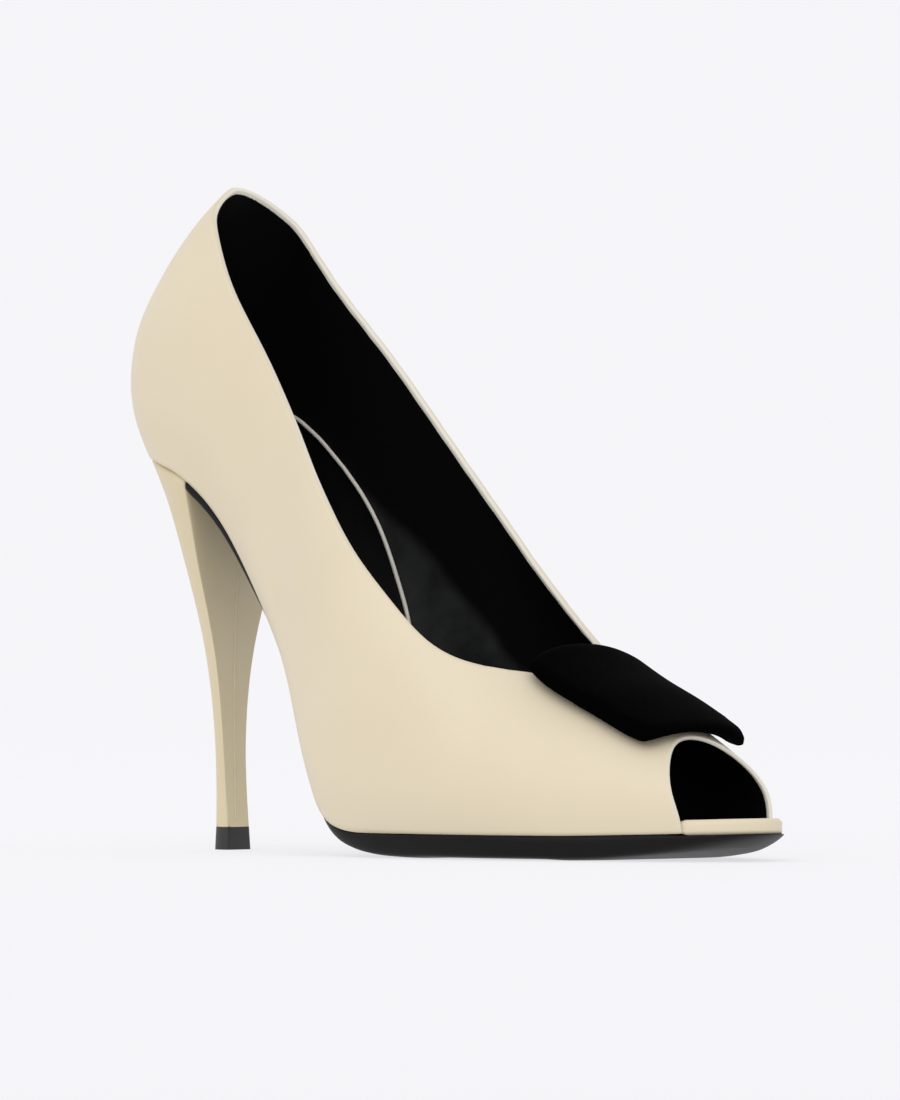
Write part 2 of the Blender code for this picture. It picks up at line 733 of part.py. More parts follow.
def make_plaque():
    """The flat padded plaque over the vamp, arched a little less than the vamp, with round corners."""
    across_steps = 14
    along_steps = 12
    bm = bmesh.new()
    layers = []
    for layer in PLAQUE_PROFILE:
        grid = []
        for i in range(along_steps + 1):
            row = []
            for j in range(across_steps + 1):
                u = 2 * i / along_steps - 1
                v = 2 * j / across_steps - 1
                corner = (u * v) ** 4
                shrink = (1 - layer["draw"] * PLAQUE_EDGE_ROUND) * (1 - PLAQUE_CORNER_ROUND * corner)
                row.append(plaque_point(0.5 + 0.5 * u * shrink, v * shrink, layer["lift"]))
            grid.append(row)
        layers.append(grid)

    def rim(grid):
        last_i = along_steps
        last_j = across_steps
        line = [grid[0][j] for j in range(last_j)]
        line += [grid[i][last_j] for i in range(last_i)]
        line += [grid[last_i][j] for j in range(last_j, 0, -1)]
        line += [grid[i][0] for i in range(last_i, 0, -1)]
        return line

    under = [[bm.verts.new(point) for point in row] for row in layers[0]]
    over = [[bm.verts.new(point) for point in row] for row in layers[-1]]
    middle = [[bm.verts.new(point) for point in rim(grid)] for grid in layers[1:-1]]
    for grid in (under, over):
        for first, second in zip(grid, grid[1:]):
            bridge(bm, first, second)
    rims = [rim(under)] + middle + [rim(over)]
    for first, second in zip(rims, rims[1:]):
        bridge(bm, first, second, closed=True)
    return new_object("vamp_plaque", mesh_from(bm, "vamp_plaque"), (0.003, 0.003, 0.003), 0.85)


for leftover in list(bpy.data.objects):
    bpy.data.objects.remove(leftover, do_unlink=True)

shoe = bpy.data.objects.new("shoe", None)
bpy.context.scene.collection.objects.link(shoe)

pieces = [
    make_upper(),
    make_outsole(),
    make_insole(),
    make_rand(),
    make_heel(),
    make_top_piece(),
    make_plaque(),
]
corners = [vert.co for piece in pieces for vert in piece.data.vertices]
low = [min(corner[axis] for corner in corners) for axis in range(3)]
high = [max(corner[axis] for corner in corners) for axis in range(3)]
shoe.location = (-(low[0] + high[0]) / 2, -(low[1] + high[1]) / 2, 0.0)
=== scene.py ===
"""The looks of a peep toe pump: cream calf upper and heel, black lining and sole, black velvet plaque.

Everything is in metres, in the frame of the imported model: +X to the toe, +Y to the inner side of the foot,
+Z up.
"""
import math

import bmesh
import bpy
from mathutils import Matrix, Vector
from mathutils.bvhtree import BVHTree
from mathutils.kdtree import KDTree


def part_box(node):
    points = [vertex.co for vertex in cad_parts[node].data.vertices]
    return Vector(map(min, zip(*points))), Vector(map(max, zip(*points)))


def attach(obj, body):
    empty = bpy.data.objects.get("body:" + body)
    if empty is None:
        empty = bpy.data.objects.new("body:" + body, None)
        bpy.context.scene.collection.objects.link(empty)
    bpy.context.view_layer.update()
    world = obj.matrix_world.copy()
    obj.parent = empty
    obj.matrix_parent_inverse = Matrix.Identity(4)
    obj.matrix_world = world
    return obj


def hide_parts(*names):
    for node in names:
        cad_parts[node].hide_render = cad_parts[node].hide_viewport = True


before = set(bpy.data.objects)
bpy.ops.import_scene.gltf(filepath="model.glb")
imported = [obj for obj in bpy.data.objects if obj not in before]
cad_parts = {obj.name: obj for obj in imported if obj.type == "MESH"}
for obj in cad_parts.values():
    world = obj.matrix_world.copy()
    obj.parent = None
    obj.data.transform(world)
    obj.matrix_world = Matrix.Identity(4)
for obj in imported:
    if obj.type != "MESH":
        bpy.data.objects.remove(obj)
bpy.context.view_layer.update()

# Upper: one thin calf upper over a black lining, its edge folded in and glued down at the collar and the
# peep toe. It is lasted, so it has no folds, only the faint pull of the leather over the arch and under
# the counter.
CALF_CREAM = "#E4D8BC"
CALF_SHADE = "#DCCFB2"
# Pale cream painted along the folded edge at the collar and the peep toe: a painted highlight on the rim.
FOLD_HIGHLIGHT_PALE = "#E7E2D2"
LINING_BLACK = "#040404"
# A grey painted sheen on the black lining inside the quarters, and the size of the noise that breaks it up.
LINING_PAINTED_SHEEN = "#303131"
CALF_CLOUD = 0.035
CALF_GRAIN = 0.00045
CALF_PORE = 0.00016
LINING_SHEEN_CLOUD = 0.008
LINING_GRAIN = 0.0006
FOLD_WIDTH = 0.0007
FOLDED_EDGE = 0.0010
LINING_CUT = 0.0002
SEAM_REACH = 0.0007
RAND_REACH = 0.0011
SEAM_CLOSED = 0.97
OVER_FOOT_BED = 0.002
BELOW_FOOT_BED = -0.0022
TOE_PART = 0.186
EDGE_SAMPLE = 0.0003
WALL_TURN = 42
UPPER_CRISP = 0.6

# The patch of painted sheen on the lining: its upper line, as places along the shoe and heights over the
# foot bed.
SHEEN_LINE = ((0.055, 0.014), (0.059, 0.018), (0.0695, 0.0245), (0.0795, 0.031), (0.087, 0.0335),
             (0.100, 0.037), (0.1085, 0.034))
SHEEN_START = 0.055
SHEEN_END = 0.112
SHEEN_SOFT = 0.0025

# The front edge of the heel sock, where its piping runs: places along the shoe and heights over the floor.
SOCK_LINE = ((0.004, 0.1245), (0.020, 0.1218), (0.032, 0.1168), (0.0405, 0.1110), (0.0493, 0.1031),
             (0.0556, 0.0965), (0.0601, 0.0907), (0.0632, 0.0860), (0.0662, 0.0803), (0.0682, 0.0765),
             (0.0698, 0.0730), (0.0725, 0.0676), (0.0743, 0.0641), (0.0770, 0.0580), (0.0800, 0.0500),
             (0.0815, 0.0460))

# The pull of the leather over the last: soft troughs and ridges placed on both walls. Each row has the
# place of its middle along the shoe and over the floor, its lean from level in degrees, its half
# length, its half width and its depth.
PULLS = (
    (0.088, 0.060, -48, 0.030, 0.0060, 0.00016),
    (0.104, 0.046, -44, 0.026, 0.0050, -0.00012),
    (0.060, 0.086, -46, 0.022, 0.0055, 0.00012),
    (0.150, 0.030, -18, 0.022, 0.0050, 0.00012),
    (0.140, 0.016, 4, 0.026, 0.0040, -0.00010),
)


def linear(hex_colour):
    """An sRGB hex colour as the linear colour that a shader takes."""
    parts = [int(hex_colour[i:i + 2], 16) / 255 for i in (1, 3, 5)]
    return (*[c / 12.92 if c <= 0.04045 else ((c + 0.055) / 1.055) ** 2.4 for c in parts], 1.0)


def add(tree, kind, inputs=None, **settings):
    """Adds a node. Settings are its own, and inputs are values or other nodes' outputs for its sockets."""
    node = tree.nodes.new(kind)
    for name, value in settings.items():
        setattr(node, name, value)
    for name, value in (inputs or {}).items():
        if isinstance(value, bpy.types.NodeSocket):
            tree.links.new(value, node.inputs[name])
        else:
            node.inputs[name].default_value = value
    return node


def new_material(name):
    """A material, its node tree, its shader and the object's own coordinates in metres."""
    material = bpy.data.materials.new(name)
    material.use_nodes = True
    tree = material.node_tree
    place = add(tree, "ShaderNodeTexCoord").outputs["Object"]
    return material, tree, tree.nodes["Principled BSDF"], place


def calf_leather(name, cream, shade, folded):
    """Cream calf, aniline dyed and softly polished: a fine closed grain, a silky gloss and a barely uneven
    tone. A folded edge is painted paler than the cream: a painted highlight along the rim of the fold."""
    material, tree, shader, place = new_material(name)
    cloud = add(tree, "ShaderNodeTexNoise", {"Vector": place, "Scale": 1 / CALF_CLOUD, "Detail": 3.0})
    tone = add(tree, "ShaderNodeMix", {0: cloud.outputs["Fac"], 6: linear(cream), 7: linear(shade)},
               data_type="RGBA")
    colour = tone.outputs[2]
    # The folded edge gets a painted highlight: a paler cream within FOLD_WIDTH of the lining's edge.
    if folded:
        to_edge = add(tree, "ShaderNodeAttribute", attribute_name="to_edge").outputs["Fac"]
        fold_highlight = add(tree, "ShaderNodeMapRange",
                   {0: to_edge, 1: FOLD_WIDTH, 2: 2 * FOLD_WIDTH, 3: 1.0, 4: 0.0})
        colour = add(tree, "ShaderNodeMix", {0: fold_highlight.outputs[0], 6: colour, 7: linear(FOLD_HIGHLIGHT_PALE)},
                     data_type="RGBA").outputs[2]
    tree.links.new(colour, shader.inputs["Base Color"])
    gloss = add(tree, "ShaderNodeMapRange", {0: cloud.outputs["Fac"], 3: 0.40, 4: 0.50})
    tree.links.new(gloss.outputs[0], shader.inputs["Roughness"])
    grain = add(tree, "ShaderNodeTexVoronoi", {"Vector": place, "Scale": 1 / CALF_GRAIN},
                feature="SMOOTH_F1")
    pores = add(tree, "ShaderNodeTexNoise", {"Vector": place, "Scale": 1 / CALF_PORE, "Detail": 2.0})
    relief = add(tree, "ShaderNodeMath", {0: grain.outputs["Distance"], 1: pores.outputs["Fac"]},
                 operation="ADD")
    bump = add(tree, "ShaderNodeBump",
               {"Height": relief.outputs[0], "Strength": 0.16, "Distance": 0.00006})
    tree.links.new(bump.outputs[0], shader.inputs["Normal"])
    shader.inputs["IOR"].default_value = 1.46
    shader.inputs["Coat Weight"].default_value = 0.10
    shader.inputs["Coat Roughness"].default_value = 0.32
    return material


def lining_leather():
    """Black lining kid, drum dyed and unpolished: nearly lightless, with a greyer patch of painted sheen
    inside the quarters, and pale cream for the width of the folded edge: the turned-in calf, painted paler
    as a highlight."""
    material, tree, shader, place = new_material("black_kid_lining")
    to_edge = add(tree, "ShaderNodeAttribute", attribute_name="to_edge").outputs["Fac"]
    fold_highlight = add(tree, "ShaderNodeMapRange",
               {0: to_edge, 1: FOLDED_EDGE, 2: FOLDED_EDGE + LINING_CUT, 3: 1.0, 4: 0.0})
    # The painted sheen: a greyer patch on the black lining, broken up by noise.
    sheen_mask = add(tree, "ShaderNodeAttribute", attribute_name="sheen_mask").outputs["Fac"]
    sheen_cloud = add(tree, "ShaderNodeTexNoise", {"Vector": place, "Scale": 1 / LINING_SHEEN_CLOUD, "Detail": 5.0})
    sheen_breakup = add(tree, "ShaderNodeMapRange",
                 {0: sheen_cloud.outputs["Fac"], 1: 0.30, 2: 0.62, 3: 0.45, 4: 1.0})
    sheen_patch = add(tree, "ShaderNodeMath", {0: sheen_mask, 1: sheen_breakup.outputs[0]}, operation="MULTIPLY")
    black = add(tree, "ShaderNodeMix",
                {0: sheen_patch.outputs[0], 6: linear(LINING_BLACK), 7: linear(LINING_PAINTED_SHEEN)}, data_type="RGBA")
    # The folded edge is the calf turned in over the lining, painted in the paler cream of the painted
    # highlight.
    colour = add(tree, "ShaderNodeMix", {0: fold_highlight.outputs[0], 6: black.outputs[2], 7: linear(FOLD_HIGHLIGHT_PALE)},
                 data_type="RGBA")
    tree.links.new(colour.outputs[2], shader.inputs["Base Color"])
    grain = add(tree, "ShaderNodeTexVoronoi", {"Vector": place, "Scale": 1 / LINING_GRAIN},
                feature="SMOOTH_F1")
    bump = add(tree, "ShaderNodeBump",
               {"Height": grain.outputs["Distance"], "Strength": 0.2, "Distance": 0.00008})
    tree.links.new(bump.outputs[0], shader.inputs["Normal"])
    shader.inputs["Roughness"].default_value = 0.68
    shader.inputs["Specular IOR Level"].default_value = 0.12
    return material


def put(name, data):
    """A new object in the scene."""
    thing = bpy.data.objects.new(name, data)
    bpy.context.scene.collection.objects.link(thing)
    return thing


def pick(thing):
    """Makes one object the active one and the only one that is selected."""
    bpy.ops.object.select_all(action="DESELECT")
    thing.select_set(True)
    bpy.context.view_layer.objects.active = thing


def in_edit(thing, steps):
    """Takes one object into edit mode with all of it selected, and runs the steps there."""
    if bpy.context.object and bpy.context.object.mode != "OBJECT":
        bpy.ops.object.mode_set(mode="OBJECT")
    pick(thing)
    bpy.ops.object.mode_set(mode="EDIT")
    bpy.ops.mesh.select_all(action="SELECT")
    steps()
    bpy.ops.object.mode_set(mode="OBJECT")


def skin_of(node, name):
    """A new piece that starts as the solid's own surface, with its triangles joined up into quads."""
    piece = put(name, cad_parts[node].data.copy())
    piece.data.materials.clear()

    def join_up():
        limit = math.radians(60)
        bpy.ops.mesh.remove_doubles(threshold=0.00001)
        bpy.ops.mesh.customdata_custom_splitnormals_clear()
        bpy.ops.mesh.tris_convert_to_quads(face_threshold=limit, shape_threshold=limit)

    in_edit(piece, join_up)
    return piece


def tree_of(mesh):
    """The mesh's faces, to cast rays at or to find the nearest point on."""
    return BVHTree.FromPolygons([v.co for v in mesh.vertices], [p.vertices for p in mesh.polygons])


def meet(piece, reach, *neighbours):
    """Draws the points of a piece that lie a working clearance off its neighbours' meshes close up to them,
    as the real pieces are cemented together."""
    trees = [tree_of(mesh) for mesh in neighbours]
    for vertex in piece.data.vertices:
        hits = [tree.find_nearest(vertex.co, reach) for tree in trees]
        hits = [hit for hit in hits if hit[0] is not None]
        if hits:
            nearest = min(hits, key=lambda hit: hit[3])
            vertex.co += (nearest[0] - vertex.co) * SEAM_CLOSED


def crease(piece, angle, amount):
    """Keeps the edges that turn by more than the angle, in degrees, crisp by an amount from 0 to 1."""
    bm = bmesh.new()
    bm.from_mesh(piece.data)
    layer = bm.edges.layers.float.get("crease_edge") or bm.edges.layers.float.new("crease_edge")
    for edge in bm.edges:
        if len(edge.link_faces) == 2 and edge.calc_face_angle() > math.radians(angle):
            edge[layer] = amount
    bm.to_mesh(piece.data)
    bm.free()


def use(piece, kind, name, **settings):
    """Gives the piece a modifier and applies it."""
    modifier = piece.modifiers.new(name, kind)
    for key, value in settings.items():
        setattr(modifier, key, value)
    pick(piece)
    bpy.ops.object.modifier_apply(modifier=name)


def smooth(piece, levels):
    """Subdivides the piece into a smooth surface and shades it smooth."""
    use(piece, "SUBSURF", "smooth", levels=levels, render_levels=levels)
    piece.data.shade_smooth()


def regions(bm, angle):
    """The faces in groups that sharp edges part from each other, the widest first."""
    limit = math.radians(angle)
    left = set(bm.faces)
    groups = []
    while left:
        group = {left.pop()}
        edge_of = list(group)
        while edge_of:
            face = edge_of.pop()
            for edge in face.edges:
                if len(edge.link_faces) == 2 and edge.calc_face_angle() < limit:
                    for other in edge.link_faces:
                        if other in left:
                            left.discard(other)
                            group.add(other)
                            edge_of.append(other)
        groups.append(group)
    return sorted(groups, key=lambda faces: -sum(face.calc_area() for face in faces))


upper_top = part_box("upper")[1].z
tip_low, tip_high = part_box("top_piece")
HEEL_AXIS_FROM_BACK = 0.030
HEEL_AXIS_FROM_TIP = 0.0053
heel_axis = Vector((tip_low.x + HEEL_AXIS_FROM_TIP, (tip_low.y + tip_high.y) / 2, 0))
shoe_back = heel_axis.x - HEEL_AXIS_FROM_BACK

upper = skin_of("upper", "upper_calf")
bm = bmesh.new()
bm.from_mesh(upper.data)
walls = regions(bm, WALL_TURN)[:2]
inner_wall = min(walls, key=lambda wall: max(v.co.y for face in wall for v in face.verts))
for face in bm.faces:
    face.material_index = 1 if face in inner_wall else 0
bm.to_mesh(upper.data)
bm.free()
crease(upper, WALL_TURN, UPPER_CRISP)
smooth(upper, 2)
upper.data.materials.append(calf_leather("cream_calf_leather", CALF_CREAM, CALF_SHADE, True))
upper.data.materials.append(lining_leather())

foot_bed_tree = tree_of(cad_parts["insole"].data)


def over_foot_bed(point):
    """Height of a point over the foot bed."""
    top = Vector((point.x, 0.5 * point.y, upper_top))
    hit = foot_bed_tree.ray_cast(top, Vector((0, 0, -1)))[0]
    return point.z - hit.z if hit else 0.0


def line_height(line, at):
    """The height of a line of places and heights at a place along it."""
    for (x, z), (next_x, next_z) in zip(line, line[1:]):
        if at <= next_x:
            return z + (next_z - z) * max(0.0, at - x) / (next_x - x)
    return line[-1][1]


def edge_of_lining(mesh):
    """Points close together along the line where the inner wall meets the folded edge of the upper: all
    round the collar, and at the peep toe down to a little below the foot bed."""
    sides = {}
    for polygon in mesh.polygons:
        for key in polygon.edge_keys:
            sides.setdefault(key, set()).add(polygon.material_index)
    points = []
    for (first, second), materials in sides.items():
        if len(materials) == 2:
            a = mesh.vertices[first].co
            b = mesh.vertices[second].co
            count = max(1, round((b - a).length / EDGE_SAMPLE))
            points += [a.lerp(b, step / count) for step in range(count)]
    folded = []
    for point in points:
        lowest = BELOW_FOOT_BED if point.x - shoe_back > TOE_PART else OVER_FOOT_BED
        if over_foot_bed(point) > lowest:
            folded.append(point)
    return folded


def pull_leather(mesh):
    """Sets the soft troughs and ridges into the walls, along the leather's own normals."""
    offsets = []
    for vertex in mesh.vertices:
        depth = 0.0
        for along, height, lean, half_length, half_width, deep in PULLS:
            turn = math.radians(lean)
            x = vertex.co.x - shoe_back - along
            z = vertex.co.z - height
            down = x * math.cos(turn) + z * math.sin(turn)
            across = z * math.cos(turn) - x * math.sin(turn)
            depth += deep * math.exp(-(down / half_length) ** 2 - (across / half_width) ** 2)
        offsets.append(vertex.normal * -depth)
    for vertex, offset in zip(mesh.vertices, offsets):
        vertex.co += offset


lining_edge = edge_of_lining(upper.data)
edge_tree = KDTree(len(lining_edge))
for index, point in enumerate(lining_edge):
    edge_tree.insert(point, index)
edge_tree.balance()
# to_edge places the painted highlight of the folded edge; the other attribute places the painted sheen on
# the lining.
to_edge = upper.data.attributes.new("to_edge", "FLOAT", "POINT")
sheen_mask = upper.data.attributes.new("sheen_mask", "FLOAT", "POINT")
for index, vertex in enumerate(upper.data.vertices):
    to_edge.data[index].value = edge_tree.find(vertex.co)[2]
    along = vertex.co.x - shoe_back
    below = line_height(SHEEN_LINE, along) - over_foot_bed(vertex.co)
    past_sock = vertex.co.z - line_height(SOCK_LINE, along)
    inside = min(along - SHEEN_START, SHEEN_END - along, below, past_sock)
    sheen_mask.data[index].value = min(1.0, max(0.0, 0.5 + inside / SHEEN_SOFT / 2))
pull_leather(upper.data)
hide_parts("upper")
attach(upper, "root")

# Piping: a cord in cream kid round the raised edge of the heel sock, sewn down on the lining inside the
# quarters. It starts and ends at the foot bed and runs round the back of the counter.
PIPING_RADIUS = 0.00060
PIPING_LIFT = 0.00045
PIPING_CREAM = "#F0EADD"
PIPING_STEPS = 20
PIPING_ROUNDS = 3


def piping_leather():
    """Cream kid, skived thin over a cord: a duller and greyer cream than the calf."""
    material, _, shader, _ = new_material("piping_kid")
    shader.inputs["Base Color"].default_value = linear(PIPING_CREAM)
    shader.inputs["Roughness"].default_value = 0.55
    return material


def round_cord(name, path, radius):
    """A round cord along a path, with closed ends."""
    curve = bpy.data.curves.new(name, "CURVE")
    curve.dimensions = "3D"
    curve.bevel_depth = radius
    curve.bevel_resolution = 2
    curve.use_fill_caps = True
    spline = curve.splines.new("NURBS")
    spline.points.add(len(path) - 1)
    for point, place in zip(spline.points, path):
        point.co = (*place, 1.0)
    spline.use_endpoint_u = True
    spline.order_u = 4
    spline.resolution_u = 5
    cord = put(name, curve)
    pick(cord)
    bpy.ops.object.convert(target="MESH")
    cord.data.shade_smooth()
    return cord


def inside_wall(start, direction):
    """The point of the inner wall that a ray from inside the shoe meets, lifted to the cord's middle."""
    point, normal = upper_tree.ray_cast(start, direction)[:2]
    if normal.dot(direction) > 0:
        normal = -normal
    return point + normal * PIPING_LIFT


upper_tree = tree_of(upper.data)
near_side = []
far_side = []
for step in range(PIPING_STEPS + 1):
    along = SOCK_LINE[2][0] + (SOCK_LINE[-1][0] - SOCK_LINE[2][0]) * step / PIPING_STEPS
    start = Vector((shoe_back + along, heel_axis.y, line_height(SOCK_LINE, along)))
    near_side.append(inside_wall(start, Vector((0, -1, 0))))
    far_side.append(inside_wall(start, Vector((0, 1, 0))))
round_back = []
for step in range(1, PIPING_STEPS):
    turn = math.pi * step / PIPING_STEPS
    direction = Vector((-math.sin(turn), -math.cos(turn), 0))
    start = heel_axis + Vector((0, 0, line_height(SOCK_LINE, HEEL_AXIS_FROM_BACK)))
    for _ in range(PIPING_ROUNDS):
        along = inside_wall(start, direction).x - shoe_back
        start.z = line_height(SOCK_LINE, along)
    round_back.append(inside_wall(start, direction))
piping = round_cord("heel_sock_piping", near_side[::-1] + round_back + far_side, PIPING_RADIUS)
piping.data.materials.append(piping_leather())
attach(piping, "root")

# Rand: the front edge of the insole board, which closes the foot of the peep toe. It is covered in the same
# calf, turned under and cemented between the board and the outsole.
RAND_TURN = 40
RAND_CRISP = 0.75

rand = skin_of("toe_rand", "toe_rand_calf")
crease(rand, RAND_TURN, RAND_CRISP)
smooth(rand, 2)
meet(rand, SEAM_REACH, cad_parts["outsole"].data)
meet(rand, RAND_REACH, upper.data)
rand.data.materials.append(calf_leather("rand_calf_leather", CALF_CREAM, CALF_SHADE, False))
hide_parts("toe_rand")
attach(rand, "root")

# Foot bed: the insole board under a black leather sock, lightly padded and glued down. The sock's edge runs
# up to the lining all round.
SOCK_BLACK = "#0A0A0A"
SOCK_GRAIN = 0.0008
SOCK_REACH = 0.0042
SOCK_TURN = 40
SOCK_CRISP = 0.8


def sock_leather():
    """Black sock lining, split leather with a printed grain: matt, with the fine crumple of padding."""
    material, tree, shader, place = new_material("black_sock_leather")
    shader.inputs["Base Color"].default_value = linear(SOCK_BLACK)
    shader.inputs["Roughness"].default_value = 0.6
    shader.inputs["Specular IOR Level"].default_value = 0.3
    grain = add(tree, "ShaderNodeTexVoronoi", {"Vector": place, "Scale": 1 / SOCK_GRAIN},
                feature="SMOOTH_F1")
    bump = add(tree, "ShaderNodeBump",
               {"Height": grain.outputs["Distance"], "Strength": 0.3, "Distance": 0.0001})
    tree.links.new(bump.outputs[0], shader.inputs["Normal"])
    return material


foot_bed = skin_of("insole", "foot_bed")
crease(foot_bed, SOCK_TURN, SOCK_CRISP)
smooth(foot_bed, 1)
meet(foot_bed, SOCK_REACH, upper.data)
foot_bed.data.materials.append(sock_leather())
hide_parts("insole")
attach(foot_bed, "root")

# Outsole: a thin black leather sole, cemented to the upper's turned-in foot and the insole. Its edge is
# trimmed, inked and hot waxed, which leaves a soft sheen on it.
SOLE_BLACK = "#0A0909"
IRON_MARK = 0.0005
SOLE_TURN = 50
SOLE_CRISP = 0.8


def waxed_sole_leather():
    """Sole leather, inked and waxed: black with a soft broad highlight and faint marks of the edge iron."""
    material, tree, shader, place = new_material("waxed_sole_leather")
    shader.inputs["Base Color"].default_value = linear(SOLE_BLACK)
    stretched = add(tree, "ShaderNodeMapping", {"Vector": place, "Scale": (0.15, 0.15, 1.0)})
    marks = add(tree, "ShaderNodeTexNoise",
                {"Vector": stretched.outputs[0], "Scale": 1 / IRON_MARK, "Detail": 3.0})
    gloss = add(tree, "ShaderNodeMapRange", {0: marks.outputs["Fac"], 3: 0.42, 4: 0.52})
    tree.links.new(gloss.outputs[0], shader.inputs["Roughness"])
    bump = add(tree, "ShaderNodeBump",
               {"Height": marks.outputs["Fac"], "Strength": 0.15, "Distance": 0.0001})
    tree.links.new(bump.outputs[0], shader.inputs["Normal"])
    shader.inputs["Specular IOR Level"].default_value = 0.16
    shader.inputs["Coat Weight"].default_value = 0.04
    shader.inputs["Coat Roughness"].default_value = 0.40
    return material


outsole = skin_of("outsole", "outsole_leather")
meet(outsole, SEAM_REACH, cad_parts["upper"].data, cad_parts["heel"].data)
crease(outsole, SOLE_TURN, SOLE_CRISP)
smooth(outsole, 2)
outsole.data.materials.append(waxed_sole_leather())
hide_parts("outsole")
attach(outsole, "root")

# Heel: a moulded block covered in the same calf, drawn round from the back and lapped down the breast.
# Its calf is painted a little deeper in tone than the upper's, as painted shade.
# The heel's cream: a darker copy of the upper's calf, painted shade.
HEEL_PAINTED_SHADE_CREAM = "#DFD2B0"
HEEL_PAINTED_SHADE_DEEP = "#D6C7A1"
HEEL_TURN = 35
HEEL_CRISP = 0.5

heel = skin_of("heel", "heel_cover")
meet(heel, SEAM_REACH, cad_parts["upper"].data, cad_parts["top_piece"].data)
crease(heel, HEEL_TURN, HEEL_CRISP)
smooth(heel, 2)
heel.data.materials.append(calf_leather("heel_calf_painted_shade", HEEL_PAINTED_SHADE_CREAM, HEEL_PAINTED_SHADE_DEEP, False))
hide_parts("heel")
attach(heel, "root")

# The seam down the breast, where one edge of the cover laps over the other, drawn as a cord sunk into it:
# heights over the floor and places across the heel.
SEAM_LINE = ((0.008, -0.0010), (0.024, -0.0001), (0.045, 0.0002), (0.067, 0.0005), (0.077, 0.0011),
             (0.092, 0.0013))
SEAM_RADIUS = 0.00035
SEAM_PROUD = 0.00024
SEAM_STEPS = 40

heel_tree = tree_of(heel.data)
lap = []
for step in range(SEAM_STEPS + 1):
    height = SEAM_LINE[0][0] + (SEAM_LINE[-1][0] - SEAM_LINE[0][0]) * step / SEAM_STEPS
    across = line_height(SEAM_LINE, height)
    start = heel_axis + Vector((HEEL_AXIS_FROM_BACK, across, height))
    point, normal = heel_tree.ray_cast(start, Vector((-1, 0, 0)))[:2]
    if point:
        lap.append(point + normal * (SEAM_PROUD - SEAM_RADIUS))
seam = round_cord("heel_cover_lap", lap, SEAM_RADIUS)
seam.data.materials.append(heel.data.materials[0])
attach(seam, "root")

# Top piece: the tip that the heel stands on, moulded in hard polyurethane and held by a dowel in the heel's
# foot. Its edges are buffed a little round.
TIP_BLACK = "#2C2A29"
TIP_SKIN = 0.0003
TIP_ROUND = 0.00035
TIP_TURN = 50
TIP_SHARP = 40


def moulded_rubber():
    """Hard polyurethane, moulded and buffed: dark grey and dull, with a fine matt skin."""
    material, tree, shader, place = new_material("moulded_polyurethane")
    shader.inputs["Base Color"].default_value = linear(TIP_BLACK)
    shader.inputs["Roughness"].default_value = 0.55
    skin = add(tree, "ShaderNodeTexNoise", {"Vector": place, "Scale": 1 / TIP_SKIN, "Detail": 2.0})
    bump = add(tree, "ShaderNodeBump",
               {"Height": skin.outputs["Fac"], "Strength": 0.2, "Distance": 0.00005})
    tree.links.new(bump.outputs[0], shader.inputs["Normal"])
    return material


top_piece = skin_of("top_piece", "heel_tip")
use(top_piece, "BEVEL", "edge", width=TIP_ROUND, segments=3, limit_method="ANGLE",
    angle_limit=math.radians(TIP_TURN))
top_piece.data.shade_smooth()
top_piece.data.set_sharp_from_angle(angle=math.radians(TIP_SHARP))
top_piece.data.materials.append(moulded_rubber())
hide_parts("top_piece")
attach(top_piece, "root")

# Plaque: a stiff pad of felt covered in black silk velvet, which is turned under all round. It is stitched
# to the vamp from below.
VELVET_BLACK = "#010101"
VELVET_BLOOM = "#8A9096"
VELVET_PILE = 0.0003
PLAQUE_TURN = 40
PLAQUE_CRISP = 0.8


def silk_velvet():
    """Silk velvet, cut pile: it swallows light face on and keeps a dim bloom where it turns away."""
    material, tree, shader, place = new_material("black_silk_velvet")
    shader.inputs["Base Color"].default_value = linear(VELVET_BLACK)
    shader.inputs["Roughness"].default_value = 0.95
    shader.inputs["Specular IOR Level"].default_value = 0.02
    shader.inputs["Sheen Weight"].default_value = 0.006
    shader.inputs["Sheen Roughness"].default_value = 0.35
    shader.inputs["Sheen Tint"].default_value = linear(VELVET_BLOOM)
    pile = add(tree, "ShaderNodeTexNoise", {"Vector": place, "Scale": 1 / VELVET_PILE, "Detail": 3.0})
    bump = add(tree, "ShaderNodeBump",
               {"Height": pile.outputs["Fac"], "Strength": 0.5, "Distance": 0.0003})
    tree.links.new(bump.outputs[0], shader.inputs["Normal"])
    return material


plaque = skin_of("vamp_plaque", "velvet_plaque")
crease(plaque, PLAQUE_TURN, PLAQUE_CRISP)
smooth(plaque, 2)
plaque.data.materials.append(silk_velvet())
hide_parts("vamp_plaque")
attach(plaque, "root")

# Room: a pale acrylic sweep, lit from below, for a floor and a backdrop, with soft light from above and
# from the camera's left.
SWEEP_COLOUR = "#818182"
SWEEP_GLOW = "#F6F5F8"
SWEEP_GLOW_STRENGTH = 0.74
SWEEP_HALF = 4.0
SWEEP_BACK = 2.6
SWEEP_RADIUS = 1.2
SWEEP_HEIGHT = 3.0
SWEEP_STEPS = 16
ROOM_WHITE = "#FCFBFF"
ROOM_STRENGTH = 0.80
KEY_FRONT = 0.64
KEY_LEFT = 0.26
KEY_ABOVE = 0.66
KEY_STRENGTH = 0.84
KEY_SPREAD = 70
CAMERA_AZIMUTH = math.radians(46)
CAMERA_DISTANCE = 1.5
CAMERA_HEIGHT = 0.036
FOCAL_PIXELS = 5550
LEVEL_PIXEL = (233.5, 716)
FRAME_PIXELS = (900, 1100)
SENSOR_HEIGHT = 24

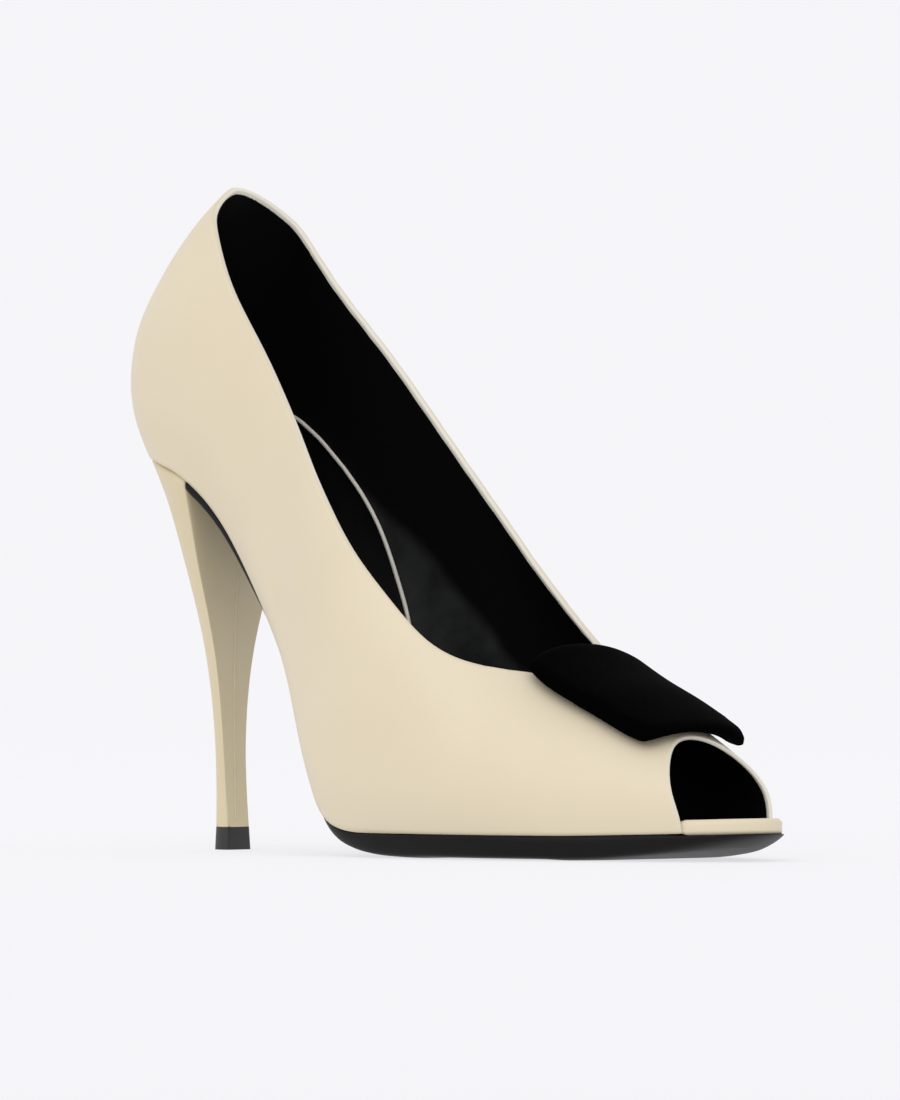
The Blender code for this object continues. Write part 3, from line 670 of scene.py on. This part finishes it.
to_camera = Vector((math.sin(CAMERA_AZIMUTH), -math.cos(CAMERA_AZIMUTH), 0))
to_right = Vector((math.cos(CAMERA_AZIMUTH), math.sin(CAMERA_AZIMUTH), 0))
profile = [Vector((-SWEEP_HALF, 0.0)), Vector((SWEEP_BACK - SWEEP_RADIUS, 0.0))]
for step in range(1, SWEEP_STEPS + 1):
    turn = step / SWEEP_STEPS * math.pi / 2
    profile.append(Vector((SWEEP_BACK - SWEEP_RADIUS + SWEEP_RADIUS * math.sin(turn),
                           SWEEP_RADIUS * (1 - math.cos(turn)))))
profile.append(Vector((SWEEP_BACK, SWEEP_HEIGHT)))
bm = bmesh.new()
rows = []
for point in profile:
    middle = -to_camera * point.x + Vector((0, 0, point.y))
    rows.append([bm.verts.new(middle + to_right * side * SWEEP_HALF) for side in (-1, 1)])
for first, second in zip(rows, rows[1:]):
    bm.faces.new((first[0], first[1], second[1], second[0]))
bmesh.ops.recalc_face_normals(bm, faces=bm.faces)
sweep_mesh = bpy.data.meshes.new("sweep")
bm.to_mesh(sweep_mesh)
bm.free()
sweep_mesh.shade_smooth()
sweep = put("sweep", sweep_mesh)
acrylic, _, shader, _ = new_material("lit_acrylic_sweep")
shader.inputs["Base Color"].default_value = linear(SWEEP_COLOUR)
shader.inputs["Roughness"].default_value = 0.9
shader.inputs["Specular IOR Level"].default_value = 0.1
shader.inputs["Emission Color"].default_value = linear(SWEEP_GLOW)
shader.inputs["Emission Strength"].default_value = SWEEP_GLOW_STRENGTH
sweep.data.materials.append(acrylic)

world = bpy.data.worlds.new("studio")
bpy.context.scene.world = world
world.use_nodes = True
background = world.node_tree.nodes["Background"]
background.inputs["Color"].default_value = linear(ROOM_WHITE)
background.inputs["Strength"].default_value = ROOM_STRENGTH


def broad_light(name, direction, strength, spread):
    """A light from one side, as soft as a wide bank of lamps far away."""
    light = bpy.data.lights.new(name, "SUN")
    light.energy = strength
    light.angle = math.radians(spread)
    lamp = put(name, light)
    lamp.rotation_euler = (-direction).to_track_quat("-Z", "Y").to_euler()


key_side = to_camera * KEY_FRONT - to_right * KEY_LEFT + Vector((0, 0, KEY_ABOVE))
broad_light("key", key_side, KEY_STRENGTH, KEY_SPREAD)

camera = put("camera", bpy.data.cameras.new("camera"))
camera.location = heel_axis + to_camera * CAMERA_DISTANCE + Vector((0, 0, CAMERA_HEIGHT))
aside = (FRAME_PIXELS[0] / 2 - LEVEL_PIXEL[0]) / FOCAL_PIXELS
lift = (LEVEL_PIXEL[1] - FRAME_PIXELS[1] / 2) / FOCAL_PIXELS
look = -to_camera + to_right * aside + Vector((0, 0, lift))
camera.rotation_euler = look.to_track_quat("-Z", "Y").to_euler()
camera.data.sensor_fit = "VERTICAL"
camera.data.sensor_height = SENSOR_HEIGHT
camera.data.lens = SENSOR_HEIGHT * FOCAL_PIXELS / FRAME_PIXELS[1]
camera.data.clip_start = 0.01
camera.data.clip_end = 20
bpy.context.scene.camera = camera
bpy.context.scene.view_settings.view_transform = "Standard"
